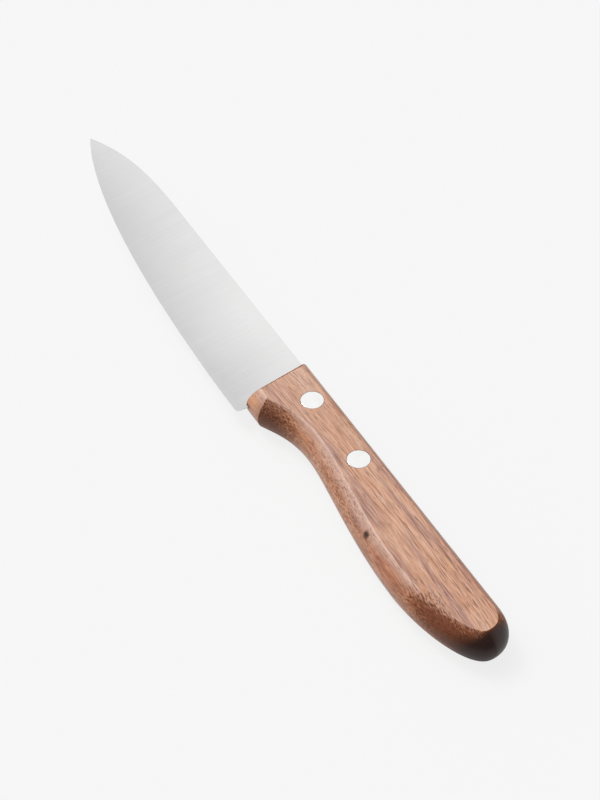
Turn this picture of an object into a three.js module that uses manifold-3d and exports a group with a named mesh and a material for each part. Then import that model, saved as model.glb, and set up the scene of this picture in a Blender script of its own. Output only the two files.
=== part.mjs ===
// Fixed-blade kitchen knife: a steel blade whose tang is riveted into a slotted wooden handle.
// Millimetres, +Z up. The knife lies on the lower flat of its handle, butt towards +X, back towards +Y.
// Sizes are set out from the front rivet: along the knife in X, from the rivet line in Y.
// The finished knife stands with the middle of its bounding box over the origin.

import * as THREE from 'three';
import { mergeVertices } from 'three/addons/utils/BufferGeometryUtils.js';
import Module from 'manifold-3d';

// Handle: thickness, and where its outline runs halfway up that thickness
const handleThickness = 11.5;
const backHeight = 7.15;
const frontAtBack = 15;
const frontAtGuard = 12.1;
const guardDepth = 14.25;
const creaseForward = 5.6;
const creaseAngle = 27.5;
const neckReach = 12.85;
const neckDepth = 8.95;
const bellyReach = 65.35;
const bellyDepth = 14;
const buttReach = 96.6;
const buttDrop = 1.4;
const buttCornerSetback = 10.7;

// Handle: how far the rounding of each edge runs in from that outline to the flat faces
const frontRound = 1.1;
const bellyRound = 4;
const buttRound = 3.85;
const backRound = 2.75;

// Handle: pull of the outline's curves, as shares of the span they cross
const creasePull = 0.33;
const neckPullForward = 0.48;
const neckPullBack = 0.2;
const bellyPullForward = 0.43;
const bellyPullBack = 0.35;
const buttPullDown = 0.66;
const buttPullUp = 0.61;
const cornerPull = 0.63;

// Blade: outline
const spineHeight = 6.65;
const spineDropReach = 92.4;
const tipReach = 133.6;
const tipDrop = 1.8;
const tipSpineAngle = 31.3;
const tipEdgeAngle = 26.7;
const heelForward = 11.1;
const heelDepth = 17.95;
const heelCornerRadius = 1.2;

// Blade: pull of the outline's curves, as shares of the length they cross
const spineDropPull = 0.46;
const tipSpinePull = 0.3;
const heelEdgePull = 0.255;
const tipEdgePull = 0.26;

// Blade: thickness of the flat grind
const spineThickness = 1.5;
const tipThickness = 0.5;
const edgeThickness = 0.3;
const edgeBevelHeight = 0.6;
const tipLand = 0.25;

// Tang, and the slot sawn for it from the front and the back of the handle
const tangThickness = 1.4;
const tangBeyondRivet = 11.7;
const tangBackDrop = 0.15;
const tangEndRadius = 5;
const tangShoulderReach = 2;
const tangShoulderInset = 0.8;
const tangOverlap = 0.5;
const slotFloorWall = 3.15;
const slotSideClearance = 0.1;
const slotEndClearance = 0.3;
const slotNick = 1;

// Rivets: a tube half from above and a pin half from below, heads flush with the flats
const rivetSpacing = 25.3;
const rivetHeadDiameter = 6.5;
const rivetHeadThickness = 1.8;
const rivetTubeDiameter = 4.4;
const rivetPinDiameter = 2.8;
const rivetPinClearance = 0.05;
const rivetEndClearance = 0.4;
const rivetHoleClearance = 0.1;
const rivetSeatClearance = 0.1;

// Facets
const curveSteps = 16;
const bladeSteps = 56;
const roundSteps = 6;
const turnSteps = 48;
const tipCrowding = 0.35;
const solveSteps = 40;
const weldDistance = 1e-4;

// Places that follow from the sizes above
const midHeight = handleThickness / 2;
const tangReach = rivetSpacing + tangBeyondRivet;
const slotFloorDepth = neckDepth - slotFloorWall;
const tangDepth = slotFloorDepth - slotEndClearance;
const tangShoulderDepth = guardDepth - tangShoulderInset;
const cutMargin = handleThickness / 2;

const wasm = await Module();
wasm.setup();

const walnut = new THREE.MeshStandardMaterial({ color: '#b5835f', roughness: 0.6, metalness: 0 });
const satinSteel = new THREE.MeshStandardMaterial({ color: '#d2d3d4', roughness: 0.35, metalness: 1 });
const aluminium = new THREE.MeshStandardMaterial({ color: '#eeeeec', roughness: 0.3, metalness: 1 });

// Solids from rings of points

function solidVolume(positions, index) {
  const [a, b, c] = [new THREE.Vector3(), new THREE.Vector3(), new THREE.Vector3()];
  let sum = 0;
  for (let i = 0; i < index.length; i += 3) {
    a.fromArray(positions, index[i] * 3);
    b.fromArray(positions, index[i + 1] * 3);
    c.fromArray(positions, index[i + 2] * 3);
    sum += a.dot(b.cross(c)) / 6;
  }
  return sum;
}

function capTriangles(ring, flatten) {
  const flat = ring.map(flatten);
  const turn = Math.sign(THREE.ShapeUtils.area(flat));
  return THREE.ShapeUtils.triangulateShape(flat, []).map(([a, b, c]) => {
    const same = Math.sign(THREE.ShapeUtils.area([flat[a], flat[b], flat[c]])) === turn;
    return same ? [a, b, c] : [a, c, b];
  });
}

// Skins a stack of closed rings with equal point counts, and closes its first and last ring.
function loft(rings, flatten) {
  const count = rings[0].length;
  const last = (rings.length - 1) * count;
  const positions = rings.flat().flatMap((point) => point.toArray());
  const index = [];
  for (let r = 0; r < rings.length - 1; r++) {
    for (let i = 0; i < count; i++) {
      const j = (i + 1) % count;
      const [low, lowNext] = [r * count + i, r * count + j];
      const [high, highNext] = [low + count, lowNext + count];
      index.push(low, lowNext, highNext, low, highNext, high);
    }
  }
  for (const [a, b, c] of capTriangles(rings[0], flatten)) index.push(a, c, b);
  for (const [a, b, c] of capTriangles(rings.at(-1), flatten)) index.push(last + a, last + b, last + c);
  if (solidVolume(positions, index) < 0) index.reverse();
  const geometry = new THREE.BufferGeometry();
  geometry.setAttribute('position', new THREE.Float32BufferAttribute(positions, 3));
  geometry.setIndex(index);
  return geometry;
}

// Turns a profile of [radius, height] pairs about the Z axis.
function turned(profile) {
  const points = profile.map(([radius, height]) => new THREE.Vector2(radius, height));
  return new THREE.LatheGeometry(points, turnSteps).rotateX(Math.PI / 2);
}

// A plate of a plan outline, centred on the blade's plane.
function plate(shape, thickness) {
  const settings = { depth: thickness, bevelEnabled: false, curveSegments: curveSteps };
  return new THREE.ExtrudeGeometry(shape, settings).translate(0, 0, midHeight - thickness / 2);
}

// Booleans

function toManifold(geometry) {
  const bare = geometry.clone();
  bare.deleteAttribute('normal');
  bare.deleteAttribute('uv');
  const merged = mergeVertices(bare, weldDistance);
  const corners = merged.index.array;
  const triVerts = [];
  for (let i = 0; i < corners.length; i += 3) {
    const [a, b, c] = [corners[i], corners[i + 1], corners[i + 2]];
    if (a !== b && b !== c && c !== a) triVerts.push(a, b, c);
  }
  const mesh = new wasm.Mesh({
    numProp: 3,
    vertProperties: new Float32Array(merged.attributes.position.array),
    triVerts: new Uint32Array(triVerts),
  });
  return new wasm.Manifold(mesh);
}

function toGeometry(manifold) {
  const mesh = manifold.getMesh();
  const geometry = new THREE.BufferGeometry();
  geometry.setAttribute('position', new THREE.BufferAttribute(mesh.vertProperties, 3));
  geometry.setIndex(new THREE.BufferAttribute(mesh.triVerts, 1));
  geometry.computeVertexNormals();
  return geometry;
}

// Handle outline, halfway up, with the inward move that each point makes towards the flats

// How far a rounded edge lies inside the outline at a height from the mid plane: one arc from flat to flat.
function arcInset(depth, height) {
  const radius = (depth ** 2 + midHeight ** 2) / (2 * depth);
  return radius - Math.sqrt(radius ** 2 - height ** 2);
}

// The corner move that takes one edge in by depthA along its normal and the other by depthB.
function cornerMove(normalA, depthA, normalB, depthB) {
  const cross = normalA.cross(normalB);
  const x = (-depthA * normalB.y + depthB * normalA.y) / cross;
  const y = (-depthB * normalA.x + depthA * normalB.x) / cross;
  return new THREE.Vector2(x, y);
}

function outwardNormal(direction) {
  return new THREE.Vector2(direction.y, -direction.x).normalize();
}

function edgePoint(point, normal, depth) {
  return { point, inset: (height) => normal.clone().multiplyScalar(-arcInset(depth, height)) };
}

function cornerPoint(point, normalA, depthA, normalB, depthB) {
  return {
    point,
    inset: (height) => cornerMove(normalA, arcInset(depthA, height), normalB, arcInset(depthB, height)),
  };
}

// Samples a curve of the outline after its first point, easing the edge rounding from one depth to another.
function outlineStretch(curve, depthFrom, depthTo, steps) {
  const stretch = [];
  for (let i = 1; i <= steps; i++) {
    const t = i / steps;
    const depth = THREE.MathUtils.lerp(depthFrom, depthTo, THREE.MathUtils.smoothstep(t, 0, 1));
    stretch.push(edgePoint(curve.getPoint(t), outwardNormal(curve.getTangent(t)), depth));
  }
  return stretch;
}

function handleOutline() {
  const crease = new THREE.Vector2(-creaseForward, -guardDepth);
  const neck = new THREE.Vector2(neckReach, -neckDepth);
  const belly = new THREE.Vector2(bellyReach, -bellyDepth);
  const butt = new THREE.Vector2(buttReach, -buttDrop);
  const buttCorner = new THREE.Vector2(buttReach - buttCornerSetback, backHeight);
  const frontTop = new THREE.Vector2(-frontAtBack, backHeight);
  const frontBottom = new THREE.Vector2(-frontAtGuard, -guardDepth);

  const scoopSpan = neck.x - crease.x;
  const bellySpan = belly.x - neck.x;
  const buttSpan = butt.x - belly.x;
  const buttRise = butt.y - belly.y;
  const cornerSpan = butt.x - buttCorner.x;
  const cornerRise = buttCorner.y - butt.y;
  const creaseDirection = new THREE.Vector2(1, 0).rotateAround(
    new THREE.Vector2(), THREE.MathUtils.degToRad(creaseAngle));

  const scoop = new THREE.CubicBezierCurve(
    crease,
    crease.clone().addScaledVector(creaseDirection, creasePull * scoopSpan),
    new THREE.Vector2(neck.x - neckPullForward * scoopSpan, neck.y),
    neck);
  const swell = new THREE.CubicBezierCurve(
    neck,
    new THREE.Vector2(neck.x + neckPullBack * bellySpan, neck.y),
    new THREE.Vector2(belly.x - bellyPullForward * bellySpan, belly.y),
    belly);
  const lowerButt = new THREE.CubicBezierCurve(
    belly,
    new THREE.Vector2(belly.x + bellyPullBack * buttSpan, belly.y),
    new THREE.Vector2(butt.x, butt.y - buttPullDown * buttRise),
    butt);
  const upperButt = new THREE.CubicBezierCurve(
    butt,
    new THREE.Vector2(butt.x, butt.y + buttPullUp * cornerRise),
    new THREE.Vector2(buttCorner.x + cornerPull * cornerSpan, buttCorner.y),
    buttCorner);

  const guardNormal = new THREE.Vector2(0, -1);
  const backNormal = new THREE.Vector2(0, 1);
  const scoopNormal = outwardNormal(creaseDirection);
  const frontNormal = outwardNormal(frontBottom.clone().sub(frontTop));
  return [
    cornerPoint(frontBottom, frontNormal, frontRound, guardNormal, bellyRound),
    cornerPoint(crease, guardNormal, bellyRound, scoopNormal, bellyRound),
    ...outlineStretch(scoop, bellyRound, bellyRound, curveSteps),
    ...outlineStretch(swell, bellyRound, bellyRound, curveSteps),
    ...outlineStretch(lowerButt, bellyRound, buttRound, curveSteps),
    ...outlineStretch(upperButt, buttRound, backRound, curveSteps),
    cornerPoint(frontTop, backNormal, backRound, frontNormal, frontRound),
  ];
}

// The handle's body before the slot and the rivet holes: rounded edges between two flats.
function handleBody() {
  const outline = handleOutline();
  const rings = [];
  for (let r = 0; r <= 2 * roundSteps; r++) {
    const height = -midHeight * Math.cos((r / (2 * roundSteps)) * Math.PI);
    rings.push(outline.map(({ point, inset }) => {
      const place = point.clone().add(inset(height));
      return new THREE.Vector3(place.x, place.y, midHeight + height);
    }));
  }
  return loft(rings, (point) => new THREE.Vector2(point.x, point.y));
}

function rivetPlaces() {
  return { front: 0, rear: rivetSpacing };
}

// A counterbored hole through the handle for one rivet.
function rivetHole() {
  const headRadius = rivetHeadDiameter / 2 + rivetHoleClearance;
  const shankRadius = rivetTubeDiameter / 2 + rivetHoleClearance;
  const seat = rivetHeadThickness + rivetSeatClearance;
  return turned([
    [0, -cutMargin],
    [headRadius, -cutMargin],
    [headRadius, seat],
    [shankRadius, seat],
    [shankRadius, handleThickness - seat],
    [headRadius, handleThickness - seat],
    [headRadius, handleThickness + cutMargin],
    [0, handleThickness + cutMargin],
  ]);
}

// The slot is open at the front and along the back, and nicks the guard just behind the heel.
function slotCutter() {
  const floor = -slotFloorDepth;
  const end = tangReach + slotEndClearance;
  const endRadius = tangEndRadius + slotEndClearance;
  const open = backHeight + cutMargin;
  const front = -frontAtBack - cutMargin;
  const nick = -heelForward + slotNick;
  const shoulder = tangShoulderReach + slotNick;
  const rise = (guardDepth - slotFloorDepth) / (shoulder - nick);
  const shape = new THREE.Shape();
  shape.moveTo(front, open);
  shape.lineTo(front, floor - rise * (shoulder - front));
  shape.lineTo(shoulder, floor);
  shape.lineTo(end - endRadius, floor);
  shape.absarc(end - endRadius, floor + endRadius, endRadius, -Math.PI / 2, 0, false);
  shape.lineTo(end, open);
  return plate(shape, Math.max(spineThickness, tangThickness) + 2 * slotSideClearance);
}

function makeHandle() {
  let solid = toManifold(handleBody()).subtract(toManifold(slotCutter()));
  for (const reach of Object.values(rivetPlaces())) {
    solid = solid.subtract(toManifold(rivetHole().translate(reach, 0, 0)));
  }
  const handle = new THREE.Mesh(toGeometry(solid), walnut);
  handle.name = 'handle';
  return handle;
}

// Blade

function pointToward(from, angle, distance) {
  const turn = THREE.MathUtils.degToRad(angle);
  return new THREE.Vector2(from.x + distance * Math.cos(turn), from.y + distance * Math.sin(turn));
}

// Height of a curve that runs towards -X, at a given place along the knife.
function heightAt(curve, x) {
  let [low, high] = [0, 1];
  for (let i = 0; i < solveSteps; i++) {
    const t = (low + high) / 2;
    if (curve.getPoint(t).x > x) low = t;
    else high = t;
  }
  return curve.getPoint(low).y;
}

function bladeOutline() {
  const tip = new THREE.Vector2(-tipReach, -tipDrop);
  const dropStart = new THREE.Vector2(-spineDropReach, spineHeight);
  const edgeStart = new THREE.Vector2(-heelForward - heelCornerRadius, -heelDepth);
  const dropSpan = dropStart.x - tip.x;
  const edgeSpan = edgeStart.x - tip.x;
  const drop = new THREE.CubicBezierCurve(
    dropStart,
    new THREE.Vector2(dropStart.x - spineDropPull * dropSpan, spineHeight),
    pointToward(tip, tipSpineAngle, tipSpinePull * dropSpan),
    tip);
  const edge = new THREE.CubicBezierCurve(
    edgeStart,
    new THREE.Vector2(edgeStart.x - heelEdgePull * edgeSpan, -heelDepth),
    pointToward(tip, -tipEdgeAngle, tipEdgePull * edgeSpan),
    tip);
  const spineAt = (x) => (x < dropStart.x ? heightAt(drop, x) : spineHeight);
  const edgeAt = (x) => {
    if (x < edgeStart.x) return heightAt(edge, x);
    const along = Math.min(x - edgeStart.x, heelCornerRadius);
    return -heelDepth + heelCornerRadius - Math.sqrt(heelCornerRadius ** 2 - along ** 2);
  };
  return { spineAt, edgeAt };
}

// Places along the blade from tip to heel, closer together where the outline turns.
function bladeStations() {
  const heelStart = -heelForward - heelCornerRadius;
  const stations = [];
  for (let i = 0; i <= bladeSteps; i++) {
    const t = i / bladeSteps;
    stations.push(THREE.MathUtils.lerp(-tipReach, heelStart, t * THREE.MathUtils.lerp(tipCrowding, 1, t)));
  }
  for (let i = 1; i <= roundSteps; i++) {
    stations.push(heelStart + heelCornerRadius * Math.sin((i / roundSteps) * (Math.PI / 2)));
  }
  return stations;
}

// One section across the blade: a flat-ground wedge with a small bevel along the edge.
function bladeSection(x, outline) {
  const share = (x + tipReach) / (tipReach - heelForward);
  const spine = outline.spineAt(x);
  const edge = Math.min(outline.edgeAt(x), spine - tipLand);
  const half = THREE.MathUtils.lerp(tipThickness, spineThickness, share) / 2;
  const bevel = edge + Math.min(edgeBevelHeight, (spine - edge) / 2);
  const edgeHalf = edgeThickness / 2;
  return [
    new THREE.Vector3(x, spine, midHeight + half),
    new THREE.Vector3(x, spine, midHeight - half),
    new THREE.Vector3(x, bevel, midHeight - edgeHalf),
    new THREE.Vector3(x, edge, midHeight),
    new THREE.Vector3(x, bevel, midHeight + edgeHalf),
  ];
}

function bladeBody() {
  const outline = bladeOutline();
  const rings = bladeStations().map((x) => bladeSection(x, outline));
  return loft(rings, (point) => new THREE.Vector2(point.y, point.z));
}

function tangBody() {
  const top = spineHeight - tangBackDrop;
  const front = -heelForward - tangOverlap;
  const shape = new THREE.Shape();
  shape.moveTo(front, top);
  shape.lineTo(front, -tangShoulderDepth);
  shape.lineTo(-heelForward, -tangShoulderDepth);
  shape.lineTo(tangShoulderReach, -tangDepth);
  shape.lineTo(tangReach - tangEndRadius, -tangDepth);
  shape.absarc(tangReach - tangEndRadius, tangEndRadius - tangDepth, tangEndRadius, -Math.PI / 2, 0, false);
  shape.lineTo(tangReach, top);
  return plate(shape, tangThickness);
}

function tangHole() {
  const radius = rivetTubeDiameter / 2 + rivetHoleClearance;
  return turned([
    [0, -cutMargin],
    [radius, -cutMargin],
    [radius, handleThickness + cutMargin],
    [0, handleThickness + cutMargin],
  ]);
}

function makeBlade() {
  let solid = toManifold(bladeBody()).add(toManifold(tangBody()));
  for (const reach of Object.values(rivetPlaces())) {
    solid = solid.subtract(toManifold(tangHole().translate(reach, 0, 0)));
  }
  const blade = new THREE.Mesh(toGeometry(solid), satinSteel);
  blade.name = 'blade';
  return blade;
}

// Rivets

function makeRivetTube() {
  const headRadius = rivetHeadDiameter / 2;
  const tubeRadius = rivetTubeDiameter / 2;
  const boreRadius = rivetPinDiameter / 2 + rivetPinClearance;
  const headBottom = handleThickness - rivetHeadThickness;
  const tubeEnd = rivetHeadThickness + rivetEndClearance;
  return new THREE.Mesh(turned([
    [0, handleThickness],
    [headRadius, handleThickness],
    [headRadius, headBottom],
    [tubeRadius, headBottom],
    [tubeRadius, tubeEnd],
    [boreRadius, tubeEnd],
    [boreRadius, headBottom],
    [0, headBottom],
  ].reverse()), aluminium);
}

function makeRivetPin() {
  const headRadius = rivetHeadDiameter / 2;
  const pinRadius = rivetPinDiameter / 2;
  const pinEnd = handleThickness - rivetHeadThickness - rivetEndClearance;
  return new THREE.Mesh(turned([
    [0, 0],
    [headRadius, 0],
    [headRadius, rivetHeadThickness],
    [pinRadius, rivetHeadThickness],
    [pinRadius, pinEnd],
    [0, pinEnd],
  ]), aluminium);
}

function makeRivets() {
  const rivets = new THREE.Group();
  for (const [place, reach] of Object.entries(rivetPlaces())) {
    const tube = makeRivetTube();
    tube.name = `${place}_rivet_tube`;
    const pin = makeRivetPin();
    pin.name = `${place}_rivet_pin`;
    const rivet = new THREE.Group();
    rivet.position.x = reach;
    rivet.add(tube, pin);
    rivets.add(rivet);
  }
  return rivets;
}

const knife = new THREE.Group();
knife.add(makeBlade(), makeHandle(), makeRivets());
const box = new THREE.Box3().setFromObject(knife);
const centre = box.getCenter(new THREE.Vector3());
knife.position.set(-centre.x, -centre.y, -box.min.z);

export default knife;
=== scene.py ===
"""Kitchen knife: walnut handle, satin steel blade and aluminium rivets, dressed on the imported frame.

Pieces are drawn in millimetres from the front rivet, with the blade's plane at Z = 0, and are then set
into the frame.
"""

import logging
import math
from collections.abc import Callable, Iterable
from dataclasses import dataclass
from enum import Enum

import bmesh
import bpy
from mathutils import Matrix, Vector
from mathutils.geometry import interpolate_bezier


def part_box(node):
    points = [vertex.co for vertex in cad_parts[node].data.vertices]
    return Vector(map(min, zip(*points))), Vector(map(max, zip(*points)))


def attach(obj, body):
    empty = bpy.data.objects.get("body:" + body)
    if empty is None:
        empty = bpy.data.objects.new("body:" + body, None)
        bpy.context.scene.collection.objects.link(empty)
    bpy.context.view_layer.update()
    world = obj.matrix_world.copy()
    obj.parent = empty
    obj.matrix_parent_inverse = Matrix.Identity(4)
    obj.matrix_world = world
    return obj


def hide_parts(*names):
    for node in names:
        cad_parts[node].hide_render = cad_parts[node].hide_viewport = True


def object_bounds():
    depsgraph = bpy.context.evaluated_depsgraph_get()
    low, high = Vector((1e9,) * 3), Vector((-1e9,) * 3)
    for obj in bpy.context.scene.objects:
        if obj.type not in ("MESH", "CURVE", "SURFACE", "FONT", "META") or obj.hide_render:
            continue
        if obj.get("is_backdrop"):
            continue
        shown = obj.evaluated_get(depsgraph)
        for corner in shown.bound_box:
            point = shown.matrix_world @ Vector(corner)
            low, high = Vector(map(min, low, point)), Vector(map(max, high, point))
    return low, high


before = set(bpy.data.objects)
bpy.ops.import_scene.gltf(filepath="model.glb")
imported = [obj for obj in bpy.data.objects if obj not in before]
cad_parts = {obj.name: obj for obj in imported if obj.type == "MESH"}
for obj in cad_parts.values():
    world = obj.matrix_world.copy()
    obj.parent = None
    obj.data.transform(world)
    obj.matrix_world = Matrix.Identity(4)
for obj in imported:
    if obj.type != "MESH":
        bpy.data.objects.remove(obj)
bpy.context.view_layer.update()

LOG = logging.getLogger("knife")
MM = 0.001
BODY = "root"

Colour = tuple[float, float, float, float]
Point = tuple[float, float, float]
Profile = list[tuple[float, float]]
Piece = bpy.types.Object
Mesh = bmesh.types.BMesh
Edge = bmesh.types.BMEdge
Material = bpy.types.Material
Tree = bpy.types.NodeTree
Node = bpy.types.Node
Socket = bpy.types.NodeSocket
Marks = bmesh.types.BMLayerItem

# What a socket can be fed with
Value = float | Socket
Range = tuple[Value, Value]
Place = Point | Socket
Tone = Colour | Socket

WHITE: Colour = (1.0, 1.0, 1.0, 1.0)
WHOLE: Range = (0.0, 1.0)
FADE: Range = (1.0, 0.0)
LINES: Range = (0.3, 0.7)
MERGE = 1e-4
EASE_STEPS = 2
LARGE_FACE_WEIGHT = 100
QUARTER_TURN = tuple(math.radians(angle) for angle in range(0, 91, 15))
RIVET_TUBES = ("front_rivet_tube", "rear_rivet_tube")


def colour(red: int, green: int, blue: int) -> Colour:
    """Turns a screen colour into the linear colour that shaders use.

    Args:
        red: Red from 0 to 255.
        green: Green from 0 to 255.
        blue: Blue from 0 to 255.

    Returns:
        The linear colour with full alpha.
    """
    shares = [channel / 255 for channel in (red, green, blue)]
    linear = [s / 12.92 if s <= 0.04045 else ((s + 0.055) / 1.055) ** 2.4 for s in shares]
    return (*linear, 1.0)


def grey(level: float) -> Colour:
    """Gives a neutral colour."""
    return (level, level, level, 1.0)


# Frame and meshes


@dataclass(frozen=True)
class Datum:
    """Where the knife's own millimetres sit in the frame."""

    origin: Vector

    @classmethod
    def from_frame(cls) -> "Datum":
        """Takes the front rivet's axis and the middle of the handle's thickness from the frame.

        Returns:
            The datum.
        """
        rivet_low, rivet_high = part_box("front_rivet_tube")
        handle_low, handle_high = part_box("handle")
        centre = (rivet_low + rivet_high) / 2
        centre.z = (handle_low.z + handle_high.z) / 2
        return cls(centre)

    def box(self, node: str) -> tuple[Vector, Vector]:
        """Gives a node's box in the knife's own millimetres.

        Args:
            node: Name of the CAD node.

        Returns:
            The lowest and the highest corner.
        """
        low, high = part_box(node)
        return (low - self.origin) / MM, (high - self.origin) / MM

    def matrix(self) -> Matrix:
        """Gives the move from the knife's own millimetres into the frame."""
        return Matrix.Translation(self.origin) @ Matrix.Scale(MM, 4)

    def metres(self, point: Iterable[float]) -> Vector:
        """Gives a point of the knife's own millimetres in the frame."""
        return self.matrix() @ Vector(point)


class MarkedRing:
    """A closed ring of edges that is drawn out step by step into a skin.

    Every vertex keeps the number of its place on the ring, so that each step can put it where it belongs.
    """

    MARK = "ring_mark"

    def __init__(self, bm: Mesh, points: Iterable[Vector]) -> None:
        """Lays the first ring.

        Args:
            bm: Mesh to draw in.
            points: Points of the ring in order.
        """
        self.bm = bm
        self.layer = bm.verts.layers.int.get(self.MARK) or bm.verts.layers.int.new(self.MARK)
        verts = [bm.verts.new(point) for point in points]
        for mark, vert in enumerate(verts):
            vert[self.layer] = mark
        self.edges = [bm.edges.new((verts[i - 1], vert)) for i, vert in enumerate(verts)]

    def draw(self, place: Callable[[int], Vector]) -> None:
        """Extrudes the ring and moves each new vertex to its place.

        Args:
            place: Gives the new place of the vertex with a given mark.
        """
        drawn = bmesh.ops.extrude_edge_only(self.bm, edges=self.edges)["geom"]
        for vert in drawn:
            if isinstance(vert, bmesh.types.BMVert):
                vert.co = place(vert[self.layer])
        self.edges = [edge for edge in drawn if isinstance(edge, Edge)]

    def close(self) -> None:
        """Fills the last ring with one face."""
        bmesh.ops.contextual_create(self.bm, geom=self.edges)


def turned(bm: Mesh, profile: Profile, segments: int) -> None:
    """Draws a round piece by extruding a disc along its profile.

    Args:
        bm: Mesh to draw in.
        profile: Radius and height of each step, from the first face to the last.
        segments: Sides of the circle.
    """
    (radius, height), *steps = profile
    made = bmesh.ops.create_circle(bm, cap_ends=True, segments=segments, radius=radius,
                                   matrix=Matrix.Translation((0, 0, height)))
    face = made["verts"][0].link_faces[0]
    for step, (next_radius, next_height) in enumerate(steps):
        drawn = bmesh.ops.extrude_face_region(bm, geom=[face], use_keep_orig=step == 0)["geom"]
        face = next(part for part in drawn if isinstance(part, bmesh.types.BMFace))
        share = next_radius / radius
        bmesh.ops.scale(bm, vec=(share, share, 1), verts=face.verts)
        bmesh.ops.translate(bm, vec=(0, 0, next_height - height), verts=face.verts)
        radius, height = next_radius, next_height


def ease(bm: Mesh, edges: list[Edge], width: float) -> None:
    """Rounds edges.

    Args:
        bm: Mesh to work on.
        edges: Edges to round.
        width: How far the rounding reaches into the faces beside an edge.
    """
    bmesh.ops.bevel(bm, geom=edges, offset=width, offset_type="OFFSET", affect="EDGES",
                    segments=EASE_STEPS, profile=0.5, material=-1, clamp_overlap=True)


def tidy(bm: Mesh) -> None:
    """Merges doubles and turns every face outwards."""
    bmesh.ops.remove_doubles(bm, verts=bm.verts, dist=MERGE)
    bmesh.ops.recalc_face_normals(bm, faces=bm.faces)


def new_piece(bm: Mesh, name: str, datum: Datum) -> Piece:
    """Sets a mesh into the frame as a new object.

    Args:
        bm: Mesh in the knife's own millimetres; it is freed.
        name: Name of the object.
        datum: Where those millimetres sit in the frame.

    Returns:
        The object, at the origin with its place in its mesh.
    """
    bmesh.ops.transform(bm, matrix=datum.matrix(), verts=bm.verts)
    mesh = bpy.data.meshes.new(name)
    bm.to_mesh(mesh)
    bm.free()
    piece = bpy.data.objects.new(name, mesh)
    bpy.context.scene.collection.objects.link(piece)
    return piece


def rivet_hole(datum: Datum, node: str, profile: Profile, segments: int) -> Piece:
    """Draws the cutter for the hole of a rivet.

    Args:
        datum: Where the knife's millimetres sit in the frame.
        node: CAD node of the rivet's tube.
        profile: Radius and height of each step of the hole.
        segments: Sides of the circle.

    Returns:
        The cutter.
    """
    low, high = datum.box(node)
    bm = bmesh.new()
    turned(bm, profile, segments)
    bmesh.ops.translate(bm, vec=((low.x + high.x) / 2, 0, 0), verts=bm.verts)
    tidy(bm)
    return new_piece(bm, f"{node}_hole", datum)


def apply_modifiers(piece: Piece) -> None:
    """Puts the result of a piece's modifiers into its mesh.

    Args:
        piece: Piece with modifiers.
    """
    graph = bpy.context.evaluated_depsgraph_get()
    mesh = bpy.data.meshes.new_from_object(piece.evaluated_get(graph))
    old = piece.data
    piece.modifiers.clear()
    piece.data = mesh
    bpy.data.meshes.remove(old)
    mesh.name = piece.name


def cut(piece: Piece, cutters: list[Piece]) -> None:
    """Takes cutters out of a piece and removes them.

    Args:
        piece: Piece to cut.
        cutters: Closed shapes to take out.
    """
    for cutter in cutters:
        modifier = piece.modifiers.new(cutter.name, "BOOLEAN")
        modifier.operation = "DIFFERENCE"
        modifier.solver = "EXACT"
        modifier.object = cutter
    apply_modifiers(piece)
    for cutter in cutters:
        bpy.data.meshes.remove(cutter.data)


def smooth(piece: Piece, sharp_angle: float) -> None:
    """Shades a piece smooth up to an angle, with normals that favour its large faces.

    Args:
        piece: Piece to shade.
        sharp_angle: Angle in degrees from which an edge stays sharp.
    """
    piece.data.shade_smooth()
    piece.data.set_sharp_from_angle(angle=math.radians(sharp_angle))
    weighted = piece.modifiers.new("even_normals", "WEIGHTED_NORMAL")
    weighted.mode = "FACE_AREA"
    weighted.weight = LARGE_FACE_WEIGHT
    weighted.keep_sharp = True


def settle(piece: Piece, node: str, material: Material) -> None:
    """Gives a piece its finish, hangs it under the body's empty, hides the CAD node that it stands for
    and logs its faces.

    Args:
        piece: Finished piece.
        node: CAD node that it stands for.
        material: Finish of the piece.
    """
    piece.data.materials.clear()
    piece.data.materials.append(material)
    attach(piece, BODY)
    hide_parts(node)
    LOG.info("%s: %d faces stand for %s", piece.name, len(piece.data.polygons), node)


# Shader graphs


class Blend(Enum):
    """Ways to lay one colour on another."""

    OVER = "MIX"
    DARKEN = "MULTIPLY"


@dataclass(frozen=True)
class Layer:
    """A colour that is laid on where a pattern runs through a range, up to a share."""

    course: Range
    tone: Colour
    share: float = 1.0
    blend: Blend = Blend.OVER


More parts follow.
